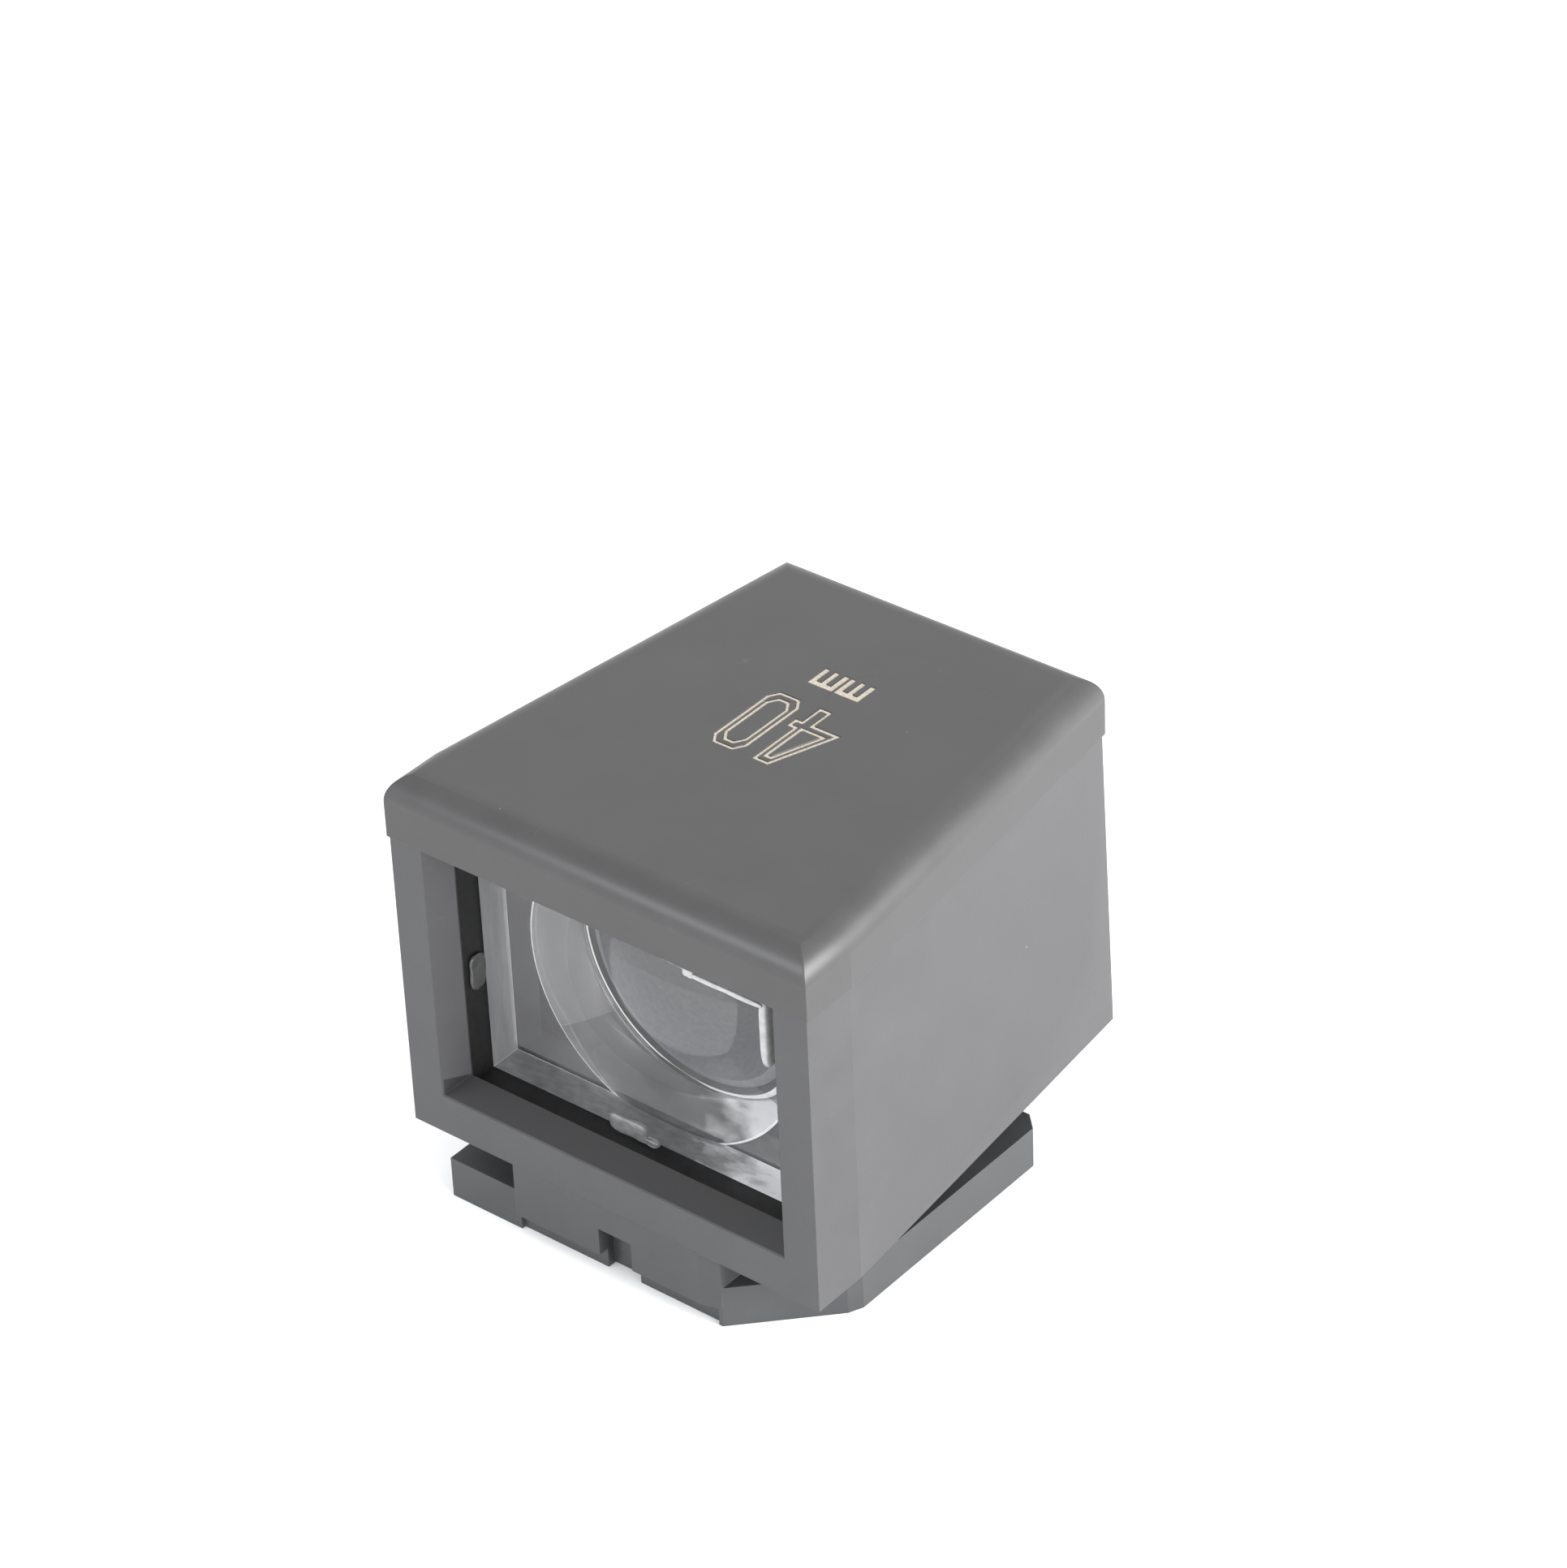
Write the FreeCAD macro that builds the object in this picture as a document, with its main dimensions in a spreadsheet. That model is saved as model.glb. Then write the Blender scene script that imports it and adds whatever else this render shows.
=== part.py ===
import FreeCAD, Part

import math
import os

import Sketcher

# Accessory-shoe optical viewfinder. Millimetres, +Z up. The front (objective window) faces -Y,
# +X is the right-hand side seen from the front, and the origin is on the resting plane under
# the middle of the bounding box.

DIMENSIONS = {
    # housing: a tapered box with straight front flanges
    "front_face": -11.38,
    "rear_face": 11.38,
    "flange_run": 2.7,
    "front_half_low": 10.83,
    "front_half_top": 10.82,
    "rear_half_low": 8.76,
    "rear_half_top": 8.3,
    "belly": 3.6,
    "floor_top": 5.0,
    "deck": 17.96,
    "side_wall": 1.3,
    "front_wall": 1.1,
    "rear_wall": 1.25,
    # front window: bevelled on both sides and along the sill, open upwards to the cover
    "window_half": 9.13,
    "window_sill": 5.5,
    "window_half_inner": 8.4,
    "window_sill_inner": 6.3,
    # tongue on the housing walls that enters the cover
    "tongue_top": 19.1,
    "tongue_inset": 0.62,
    "tongue_wall": 0.6,
    # cover
    "cover_bottom": 18.0,
    "cover_top": 21.0,
    "cover_ceiling": 19.5,
    "cover_side_step": 0.1,
    "cover_end_step": 0.1,
    "cover_wall": 0.72,
    "cover_round": 1.3,
    # optics, all on one horizontal axis
    "axis_height": 12.4,
    "lens_front": -9.1,
    "lens_thick": 3.3,
    "lens_half": 8.25,
    "lens_low": 6.05,
    "lens_high": 18.6,
    "dish_rim": 6.9,
    "dish_sag": 2.9,
    "frame_half": 8.95,
    "frame_high": 19.2,
    "frame_opening_half": 8.35,
    "frame_opening_low": 5.95,
    "frame_opening_high": 18.7,
    "stop_thick": 0.9,
    "stop_half": 8.7,
    "stop_high": 19.4,
    "stop_hole": 6.6,
    "tunnel_front_hole": 6.1,
    "tunnel_rear_hole": 5.2,
    "tunnel_wall": 0.6,
    "cell_front": 5.6,
    "cell_outer": 6.3,
    "cell_seat": 5.35,
    "cell_hole": 4.75,
    "cell_lip": 0.7,
    "eye_lens_edge": 1.4,
    "eye_lens_crown": 1.1,
    "ring_inner": 4.6,
    "ring_thick": 0.8,
    "ring_stand": 0.31,
    "eye_hole": 4.4,
    "eye_bevel": 0.7,
    # glue that holds the front lens in its frame: a bead on the sill, one at the left and a run at the right
    "sill_bead_x": -0.35,
    "sill_bead_length": 2.6,
    "sill_bead_up": 0.95,
    "sill_bead_out": 0.45,
    "left_bead_z": 11.3,
    "left_bead_length": 1.8,
    "left_bead_across": 0.3,
    "left_bead_out": 1.0,
    "run_left": 7.2,
    "run_low": 13.6,
    "run_high": 17.95,
    "run_front": -10.25,
    "arm_left": 3.7,
    "arm_low": 16.65,
    "arm_front": -10.72,
    "arm_back": -10.15,
    # shoe foot to ISO 518
    "foot_half": 9.3,
    "foot_thick": 2.0,
    "foot_front": -11.08,
    "foot_rear": 5.6,
    "neck_half": 5.45,
    "neck_rear": 4.4,
    "neck_bevel_x": 0.95,
    "neck_bevel_y": 0.25,
    "lip_bottom": 0.95,
    "notch_half": 0.87,
    "notch_top": 2.33,
    "notch_deep": 0.93,
    "undercut_deep": 0.2,
    "undercut_end": 5.2,
    "lead_in_x": 5.4,
    "lead_in_side_x": 9.0,
    "lead_in_deep": 3.7,
    "lead_in_end": 4.36,
    "foot_corner": 0.7,
    # foot screws, M1.6 countersunk
    "screw_front_y": -2.9,
    "screw_rear_y": 2.5,
    "screw_shank": 0.8,
    "screw_clearance": 0.9,
    "screw_head": 1.5,
    "screw_head_play": 0.05,
    "screw_head_deep": 0.7,
    "screw_sink": 0.2,
    "screw_tip": 5.5,
    "screw_point": 0.4,
    "drive_half": 0.8,
    "drive_slot_half": 0.16,
    "drive_deep": 0.45,
    "boss_radius": 1.6,
    "boss_top": 5.7,
    # figure and unit marked on the cover, filled with paint
    "mark_deep": 0.12,
    "mark_sunk": 0.03,
    "mark_stroke": 0.17,
    "figure_far": -1.62,
    "figure_near": 2.5,
    "loop_gap_x": 0.25,
    "loop_gap_y": 0.38,
    "zero_left": -1.76,
    "zero_right": -0.38,
    "zero_cut_x": 0.26,
    "zero_cut_y": 0.4,
    "four_stem_left": 0.64,
    "four_stem_right": 0.94,
    "four_slant_top": 1.17,
    "four_tip": 2.22,
    "four_bar_left": 0.3,
    "four_bar_far": 1.07,
    "four_bar_near": 1.32,
    "unit_far": 3.9,
    "unit_near": 5.14,
    "unit_bar": 0.3,
    "unit_leg": 0.27,
    "unit_pitch": 0.5,
    "unit_first_x": -1.2,
    "unit_second_x": 0.16,
}

doc = FreeCAD.newDocument("viewfinder")
sheet = doc.addObject("Spreadsheet::Sheet", "dims")
for row, (alias, size) in enumerate(DIMENSIONS.items(), 1):
    sheet.set(f"A{row}", alias)
    sheet.set(f"B{row}", str(size))
    sheet.setAlias(f"B{row}", alias)
doc.recompute()

def named(expression):
    """Puts the sheet's name before each alias of a short expression such as 'deck + 0.2'."""
    words = []
    for word in expression.replace("(", " ( ").replace(")", " ) ").split():
        words.append(f"dims.{word}" if word in DIMENSIONS else word)
    return " ".join(words)


def size_of(expression):
    return float(sheet.evalExpression(named(expression)))


def new_body(label):
    body = doc.addObject("PartDesign::Body", label)
    body.Label = label
    return body


def new_sketch(body, plane, offset="0"):
    """A sketch on one of the body's own planes, moved along that plane's normal by offset."""
    sketch = body.newObject("Sketcher::SketchObject", f"{body.Label}_sketch")
    role = plane + "_Plane"
    origin_plane = [f for f in body.Origin.OriginFeatures if f.Role == role][0]
    sketch.AttachmentSupport = [(origin_plane, "")]
    sketch.MapMode = "FlatFace"
    sketch.setExpression("AttachmentOffset.Base.z", named(offset))
    return sketch


def bind_point(sketch, geometry, point, across, up):
    """Holds one point of a sketch at sheet-driven distances from the sketch's origin."""
    for kind, expression in (("DistanceX", across), ("DistanceY", up)):
        value = size_of(expression)
        constraint = Sketcher.Constraint(kind, -1, 1, geometry, point, value)
        index = sketch.addConstraint(constraint)
        sketch.setExpression(f"Constraints[{index}]", named(expression))


def add_polygon(sketch, corners):
    """A closed outline of straight edges through (across, up) corners given as expressions."""
    places = [FreeCAD.Vector(size_of(a), size_of(b), 0) for a, b in corners]
    first = sketch.GeometryCount
    count = len(corners)
    for i in range(count):
        sketch.addGeometry(Part.LineSegment(places[i], places[(i + 1) % count]))
    for i in range(count):
        following = first + (i + 1) % count
        sketch.addConstraint(Sketcher.Constraint("Coincident", first + i, 2, following, 1))
    for i, (across, up) in enumerate(corners):
        bind_point(sketch, first + i, 1, across, up)


def add_box(sketch, left, right, low, high):
    add_polygon(sketch, [(left, low), (right, low), (right, high), (left, high)])


def add_circle(sketch, across, up, radius):
    centre = FreeCAD.Vector(size_of(across), size_of(up), 0)
    circle = Part.Circle(centre, FreeCAD.Vector(0, 0, 1), size_of(radius))
    index = sketch.addGeometry(circle)
    bind_point(sketch, index, 3, across, up)
    held = sketch.addConstraint(Sketcher.Constraint("Radius", index, size_of(radius)))
    sketch.setExpression(f"Constraints[{held}]", named(radius))


def extrude(body, sketch, length, cut=False, reverse=False):
    """A Pad, or a Pocket, of the sketch along its normal."""
    kind = "PartDesign::Pocket" if cut else "PartDesign::Pad"
    before = body.Shape.Volume if cut else 0
    feature = body.newObject(kind, f"{body.Label}_{'pocket' if cut else 'pad'}")
    feature.Profile = sketch
    feature.setExpression("Length", named(length))
    feature.Reversed = reverse
    doc.recompute()
    if cut and not body.Shape.Volume < before - 1e-6:
        raise SystemExit(f"{feature.Label} cuts nothing")
    return feature


def loft(body, low, high, cut=False):
    """A ruled loft between two sketches, added to the body or taken from it."""
    kind = "PartDesign::SubtractiveLoft" if cut else "PartDesign::AdditiveLoft"
    before = body.Shape.Volume if cut else 0
    feature = body.newObject(kind, f"{body.Label}_loft")
    feature.Profile = low
    feature.Sections = [high]
    feature.Ruled = True
    doc.recompute()
    if cut and not body.Shape.Volume < before - 1e-6:
        raise SystemExit(f"{feature.Label} cuts nothing")
    return feature


def turn(body, sketch, axis, cut=False):
    """A full turn of the sketch about one of its own construction lines or axes."""
    kind = "PartDesign::Groove" if cut else "PartDesign::Revolution"
    before = body.Shape.Volume if cut else 0
    feature = body.newObject(kind, f"{body.Label}_turn")
    feature.Profile = sketch
    feature.ReferenceAxis = (sketch, [axis])
    feature.Angle = 360
    doc.recompute()
    if cut and not body.Shape.Volume < before - 1e-6:
        raise SystemExit(f"{feature.Label} cuts nothing")
    return feature


def plan_outline(level, side, front, rear):
    """The six corners of the tapered plan, offset outwards: level is 'low' or 'top'."""
    front_half = f"front_half_{level} + {side}"
    rear_half = f"rear_half_{level} + {side}"
    kink = "front_face + flange_run"
    return [
        (f"-1 * ( {front_half} )", f"front_face - {front}"),
        (front_half, f"front_face - {front}"),
        (front_half, kink),
        (rear_half, f"rear_face + {rear}"),
        (f"-1 * ( {rear_half} )", f"rear_face + {rear}"),
        (f"-1 * ( {front_half} )", kink),
    ]


def wall_run():
    """The U that the tongue follows: along one side, across the rear and back along the other."""
    start = "front_face + flange_run"
    outside = "-1 * tongue_inset"
    inside = "-1 * ( tongue_inset + tongue_wall )"
    return [
        (f"-1 * ( front_half_top + {outside} )", start),
        (f"-1 * ( front_half_top + {inside} )", start),
        (f"-1 * ( rear_half_top + {inside} )", f"rear_face + {inside}"),
        (f"rear_half_top + {inside}", f"rear_face + {inside}"),
        (f"front_half_top + {inside}", start),
        (f"front_half_top + {outside}", start),
        (f"rear_half_top + {outside}", f"rear_face + {outside}"),
        (f"-1 * ( rear_half_top + {outside} )", f"rear_face + {outside}"),
    ]


def make_housing():
    body = new_body("housing")
    low = new_sketch(body, "XY", "belly")
    add_polygon(low, plan_outline("low", "0", "0", "0"))
    high = new_sketch(body, "XY", "deck")
    add_polygon(high, plan_outline("top", "0", "0", "0"))
    loft(body, low, high)

    inset = "-1 * side_wall"
    low = new_sketch(body, "XY", "floor_top")
    add_polygon(low, plan_outline("low", inset, "( -1 * front_wall )", "( -1 * rear_wall )"))
    high = new_sketch(body, "XY", "deck + 1")
    add_polygon(high, plan_outline("top", inset, "( -1 * front_wall )", "( -1 * rear_wall )"))
    loft(body, low, high, cut=True)

    # The XZ plane's normal is -Y, so a place along Y is minus the offset.
    outer = new_sketch(body, "XZ", "-1 * front_face")
    add_box(outer, "-1 * window_half", "window_half", "window_sill", "deck + 1")
    inner = new_sketch(body, "XZ", "-1 * ( front_face + front_wall )")
    add_box(inner, "-1 * window_half_inner", "window_half_inner", "window_sill_inner", "deck + 1")
    loft(body, outer, inner, cut=True)

    # Eyepiece opening, bevelled towards the eye.
    opening = new_sketch(body, "YZ")
    add_polygon(
        opening,
        [
            ("rear_face - rear_wall - 0.1", "axis_height"),
            ("rear_face + 0.1", "axis_height"),
            ("rear_face + 0.1", "axis_height + eye_hole + eye_bevel"),
            ("rear_face", "axis_height + eye_hole + eye_bevel"),
            ("rear_face - eye_bevel", "axis_height + eye_hole"),
            ("rear_face - rear_wall - 0.1", "axis_height + eye_hole"),
        ],
    )
    turn(body, opening, "Edge1", cut=True)

    bosses = new_sketch(body, "XY", "floor_top - 0.2")
    for place in ("screw_front_y", "screw_rear_y"):
        add_circle(bosses, "0", place, "boss_radius")
    extrude(body, bosses, "boss_top - floor_top + 0.2")
    pilots = new_sketch(body, "XY", "belly")
    for place in ("screw_front_y", "screw_rear_y"):
        add_circle(pilots, "0", place, "screw_shank")
    extrude(body, pilots, "boss_top - belly + 0.5", cut=True, reverse=True)

    tongue = new_sketch(body, "XY", "deck - 0.3")
    add_polygon(tongue, wall_run())
    extrude(body, tongue, "tongue_top - deck + 0.3")
    return body


def flat_face(body, level):
    """The name of the body's flat face at a level."""
    for number, face in enumerate(body.Shape.Faces, 1):
        box = face.BoundBox
        if abs(box.ZMin - level) < 1e-6 and abs(box.ZMax - level) < 1e-6:
            return f"Face{number}"
    raise SystemExit(f"{body.Label} has no flat face at {level}")


def make_cover_blank():
    """The cover before its figure and unit are engraved."""
    body = new_body("cover_blank")
    outline = new_sketch(body, "XY", "cover_bottom")
    add_polygon(outline, plan_outline("top", "cover_side_step", "cover_end_step", "cover_end_step"))
    pad = extrude(body, outline, "cover_top - cover_bottom")
    fillet = body.newObject("PartDesign::Fillet", "cover_edge_round")
    fillet.Base = (pad, [flat_face(body, size_of("cover_top"))])
    fillet.setExpression("Radius", named("cover_round"))
    doc.recompute()
    hollow = new_sketch(body, "XY", "cover_bottom")
    inset = "cover_side_step - cover_wall"
    end = "( cover_end_step - cover_wall )"
    add_polygon(hollow, plan_outline("top", inset, end, end))
    extrude(body, hollow, "cover_ceiling - cover_bottom", cut=True, reverse=True)
    return body


def make_cover_bond():
    """The adhesive bead between the housing's tongue and the cover's ceiling."""
    body = new_body("cover_bond")
    bead = new_sketch(body, "XY", "tongue_top")
    add_polygon(bead, wall_run())
    extrude(body, bead, "cover_ceiling - tongue_top")
    return body


def make_objective_frame():
    body = new_body("objective_frame")
    sketch = new_sketch(body, "XZ", "-1 * ( front_face + front_wall )")
    add_box(sketch, "-1 * frame_half", "frame_half", "floor_top", "frame_high")
    low, high = "frame_opening_low", "frame_opening_high"
    add_box(sketch, "-1 * frame_opening_half", "frame_opening_half", low, high)
    deep = "lens_front + lens_thick - front_face - front_wall"
    extrude(body, sketch, deep, reverse=True)
    return body


def make_objective_lens():
    """A rectangular negative lens: flat in front, with a spherical dish in its rear face."""
    body = new_body("objective_lens")
    sketch = new_sketch(body, "XZ", "-1 * lens_front")
    add_box(sketch, "-1 * lens_half", "lens_half", "lens_low", "lens_high")
    extrude(body, sketch, "lens_thick", reverse=True)
    dish = new_sketch(body, "YZ")
    rear = size_of("lens_front + lens_thick")
    axis = size_of("axis_height")
    rim = size_of("dish_rim")
    sag = size_of("dish_sag")
    radius = (rim * rim + sag * sag) / (2 * sag)
    bottom = FreeCAD.Vector(rear - sag, axis, 0)
    edge = FreeCAD.Vector(rear, axis + rim, 0)
    centre = FreeCAD.Vector(rear - sag + radius, axis, 0)
    half_turn = math.asin(rim / radius)
    circle = Part.Circle(centre, FreeCAD.Vector(0, 0, 1), radius)
    dish.addGeometry(Part.LineSegment(bottom, FreeCAD.Vector(rear, axis, 0)))
    dish.addGeometry(Part.LineSegment(FreeCAD.Vector(rear, axis, 0), edge))
    dish.addGeometry(Part.ArcOfCircle(circle, math.pi - half_turn, math.pi))
    dish.addConstraint(Sketcher.Constraint("Coincident", 0, 2, 1, 1))
    dish.addConstraint(Sketcher.Constraint("Coincident", 1, 2, 2, 1))
    dish.addConstraint(Sketcher.Constraint("Coincident", 2, 2, 0, 1))
    bind_point(dish, 0, 1, "lens_front + lens_thick - dish_sag", "axis_height")
    bind_point(dish, 0, 2, "lens_front + lens_thick", "axis_height")
    bind_point(dish, 1, 2, "lens_front + lens_thick", "axis_height + dish_rim")
    dish.addConstraint(Sketcher.Constraint("PointOnObject", 2, 3, 0))
    turn(body, dish, "Edge1", cut=True)
    return body


def make_sill_bead():
    """A wedge of clear glue along the frame's sill, leaning on the lens's front face."""
    body = new_body("glue_bead_sill")
    sketch = new_sketch(body, "YZ", "sill_bead_x - sill_bead_length / 2")
    corners = [
        ("lens_front", "frame_opening_low"),
        ("lens_front", "frame_opening_low + sill_bead_up"),
        ("lens_front - sill_bead_out", "frame_opening_low"),
    ]
    add_polygon(sketch, corners)
    extrude(body, sketch, "sill_bead_length")
    return body


def make_left_bead():
    """A thin wedge of clear glue on the left of the frame's opening, reaching the lens's front face."""
    body = new_body("glue_bead_left")
    sketch = new_sketch(body, "XY", "left_bead_z - left_bead_length / 2")
    corners = [
        ("-1 * frame_opening_half", "lens_front"),
        ("-1 * ( frame_opening_half - left_bead_across )", "lens_front"),
        ("-1 * frame_opening_half", "lens_front - left_bead_out"),
    ]
    add_polygon(sketch, corners)
    extrude(body, sketch, "left_bead_length")
    return body


def make_right_run():
    """Glue run down the right of the frame's opening, with an arm along the cover's lower front edge."""
    body = new_body("glue_bead_right")
    upright = new_sketch(body, "XY", "run_low")
    add_box(upright, "run_left", "frame_opening_half", "run_front", "lens_front")
    extrude(body, upright, "run_high - run_low")
    arm = new_sketch(body, "XY", "arm_low")
    add_box(arm, "arm_left", "frame_opening_half", "arm_front", "arm_back")
    extrude(body, arm, "run_high - arm_low")
    return body


def make_aperture_plate():
    body = new_body("aperture_plate")
    sketch = new_sketch(body, "XZ", "-1 * ( lens_front + lens_thick )")
    add_box(sketch, "-1 * stop_half", "stop_half", "floor_top", "stop_high")
    add_circle(sketch, "0", "axis_height", "stop_hole")
    extrude(body, sketch, "stop_thick", reverse=True)
    return body


def on_axis_line(near, far):
    """A line along the optical axis, in a YZ sketch."""
    height = size_of("axis_height")
    start = FreeCAD.Vector(size_of(near), height, 0)
    return Part.LineSegment(start, FreeCAD.Vector(size_of(far), height, 0))


def turned_ring(label, corners, near, far):
    """A ring about the optical axis, from (along Y, radius) corners."""
    body = new_body(label)
    sketch = new_sketch(body, "YZ")
    add_polygon(sketch, [(along, f"axis_height + {radius}") for along, radius in corners])
    axis = sketch.addGeometry(on_axis_line(near, far), True)
    bind_point(sketch, axis, 1, near, "axis_height")
    bind_point(sketch, axis, 2, far, "axis_height")
    turn(body, sketch, "Axis0")
    return body


def make_light_tunnel():
    """A thin cone that keeps stray light off the path from the aperture plate to the cell."""
    front = "lens_front + lens_thick + stop_thick"
    corners = [
        (front, "tunnel_front_hole"),
        ("cell_front", "tunnel_rear_hole"),
        ("cell_front", "tunnel_rear_hole + tunnel_wall"),
        (front, "tunnel_front_hole + tunnel_wall"),
    ]
    return turned_ring("light_tunnel", corners, front, "cell_front")


def make_eyepiece_cell():
    """The tube that seats the rear lens against a front lip and meets the housing's rear wall."""
    back = "rear_face - rear_wall"
    lip = "cell_front + cell_lip"
    corners = [
        ("cell_front", "cell_hole"),
        (lip, "cell_hole"),
        (lip, "cell_seat"),
        (back, "cell_seat"),
        (back, "cell_outer"),
        ("cell_front", "cell_outer"),
    ]
    return turned_ring("eyepiece_cell", corners, "cell_front", back)


def make_eyepiece_lens():
    """A positive lens: flat towards the front lens, domed towards the eye."""
    body = new_body("eyepiece_lens")
    sketch = new_sketch(body, "YZ")
    front = size_of("cell_front + cell_lip")
    edge = size_of("cell_front + cell_lip + eye_lens_edge")
    crown = size_of("eye_lens_crown")
    rim = size_of("cell_seat")
    axis = size_of("axis_height")
    radius = (rim * rim + crown * crown) / (2 * crown)
    half_turn = math.asin(rim / radius)
    apex = FreeCAD.Vector(edge + crown, axis, 0)
    circle = Part.Circle(FreeCAD.Vector(edge + crown - radius, axis, 0), FreeCAD.Vector(0, 0, 1), radius)
    corners = [
        FreeCAD.Vector(front, axis, 0),
        FreeCAD.Vector(front, axis + rim, 0),
        FreeCAD.Vector(edge, axis + rim, 0),
    ]
    sketch.addGeometry(Part.LineSegment(apex, corners[0]))
    sketch.addGeometry(Part.LineSegment(corners[0], corners[1]))
    sketch.addGeometry(Part.LineSegment(corners[1], corners[2]))
    sketch.addGeometry(Part.ArcOfCircle(circle, 0, half_turn))
    for near, near_end, far, far_end in ((0, 2, 1, 1), (1, 2, 2, 1), (2, 2, 3, 2), (3, 1, 0, 1)):
        sketch.addConstraint(Sketcher.Constraint("Coincident", near, near_end, far, far_end))
    rear_edge = "cell_front + cell_lip + eye_lens_edge"
    bind_point(sketch, 0, 1, f"{rear_edge} + eye_lens_crown", "axis_height")
    bind_point(sketch, 1, 1, "cell_front + cell_lip", "axis_height")
    bind_point(sketch, 1, 2, "cell_front + cell_lip", "axis_height + cell_seat")
    bind_point(sketch, 2, 2, rear_edge, "axis_height + cell_seat")
    sketch.addConstraint(Sketcher.Constraint("PointOnObject", 3, 3, 0))
    turn(body, sketch, "Edge1")
    return body


def make_eyepiece_ring():
    """The ring that bears on the dome of the rear lens near its edge."""
    near = "cell_front + cell_lip + eye_lens_edge + ring_stand"
    far = f"{near} + ring_thick"
    corners = [
        (near, "ring_inner"),
        (far, "ring_inner"),
        (far, "cell_seat"),
        (near, "cell_seat"),
    ]
    return turned_ring("eyepiece_ring", corners, near, far)


def make_shoe_foot():
    """The foot's plate and neck, one moulding. A lip hangs over the plate's front, which is undercut."""
    body = new_body("shoe_foot")
    plate = new_sketch(body, "XY")
    add_polygon(
        plate,
        [
            ("-1 * foot_half", "foot_front"),
            ("lead_in_x", "foot_front"),
            ("lead_in_side_x", "foot_front + lead_in_deep"),
            ("foot_half", "foot_front + lead_in_end"),
            ("foot_half", "foot_rear - foot_corner"),
            ("foot_half - foot_corner", "foot_rear"),
            ("-1 * foot_half + foot_corner", "foot_rear"),
            ("-1 * foot_half", "foot_rear - foot_corner"),
        ],
    )
    extrude(body, plate, "foot_thick")
    undercut = new_sketch(body, "XZ", "-1 * foot_front")
    add_box(undercut, "-1 * neck_half", "undercut_end", "-0.1", "lip_bottom")
    extrude(body, undercut, "undercut_deep", cut=True)
    neck = new_sketch(body, "XY", "lip_bottom")
    add_polygon(
        neck,
        [
            ("-1 * neck_half", "front_face"),
            ("neck_half - neck_bevel_x", "front_face"),
            ("neck_half", "front_face + neck_bevel_y"),
            ("neck_half", "neck_rear"),
            ("-1 * neck_half", "neck_rear"),
        ],
    )
    extrude(body, neck, "belly - lip_bottom")
    notch = new_sketch(body, "XZ", "-1 * front_face")
    add_box(notch, "-1 * notch_half", "notch_half", "-0.1", "notch_top")
    extrude(body, notch, "notch_deep", cut=True)
    for place in ("screw_front_y", "screw_rear_y"):
        sink = new_sketch(body, "YZ")
        head = "screw_head + screw_head_play"
        add_polygon(
            sink,
            [
                (place, "-0.1"),
                (place, "belly + 0.1"),
                (f"{place} + screw_clearance", "belly + 0.1"),
                (f"{place} + screw_clearance", "screw_sink + screw_head_deep"),
                (f"{place} + {head}", "screw_sink"),
                (f"{place} + {head}", "-0.1"),
            ],
        )
        turn(body, sink, "Edge1", cut=True)
    return body


def make_foot_screw(label, place):
    """A countersunk self-tapping screw, head down, with a cross recess."""
    body = new_body(label)
    sketch = new_sketch(body, "YZ")
    add_polygon(
        sketch,
        [
            (place, "screw_sink"),
            (place, "screw_tip"),
            (f"{place} + screw_shank / 2", "screw_tip"),
            (f"{place} + screw_shank", "screw_tip - screw_point"),
            (f"{place} + screw_shank", "screw_sink + screw_head_deep"),
            (f"{place} + screw_head", "screw_sink"),
        ],
    )
    turn(body, sketch, "Edge1")
    for wide, long in (("drive_slot_half", "drive_half"), ("drive_half", "drive_slot_half")):
        slot = new_sketch(body, "XY", "screw_sink")
        add_box(slot, f"-1 * {wide}", wide, f"{place} - {long}", f"{place} + {long}")
        extrude(body, slot, "drive_deep", cut=True, reverse=True)
    return body


def zero_loops():
    """Two chamfered loops, one inside the other. The figure is read from behind the finder."""
    loops = {}
    for name, gap in (("outer", 0), ("inner", 1)):
        left = f"zero_left + {gap} * loop_gap_x"
        right = f"zero_right - {gap} * loop_gap_x"
        far = f"figure_far + {gap} * loop_gap_y"
        near = f"figure_near - {gap} * loop_gap_y"
        loops[name] = [
            (left, f"{far} + zero_cut_y"),
            (f"{left} + zero_cut_x", far),
            (f"{right} - zero_cut_x", far),
            (right, f"{far} + zero_cut_y"),
            (right, f"{near} - zero_cut_y"),
            (f"{right} - zero_cut_x", near),
            (f"{left} + zero_cut_x", near),
            (left, f"{near} - zero_cut_y"),
        ]
    return loops


def four_loops():
    """The figure's outline with its stem and bar, and the triangle inside it."""
    outer = [
        ("four_stem_left", "figure_far"),
        ("four_slant_top", "figure_far"),
        ("four_tip", "four_bar_near"),
        ("four_stem_right", "four_bar_near"),
        ("four_stem_right", "figure_near"),
        ("four_stem_left", "figure_near"),
        ("four_stem_left", "four_bar_near"),
        ("four_bar_left", "four_bar_near"),
        ("four_bar_left", "four_bar_far"),
        ("four_stem_left", "four_bar_far"),
    ]
    inner = [
        ("four_stem_left + loop_gap_x", "figure_far + loop_gap_y"),
        ("four_slant_top - loop_gap_x / 2", "figure_far + loop_gap_y"),
        ("four_tip - 1.6 * loop_gap_x", "four_bar_near - loop_gap_y"),
        ("four_stem_left + loop_gap_x", "four_bar_near - loop_gap_y"),
    ]
    return {"outer": outer, "inner": inner}


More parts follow.
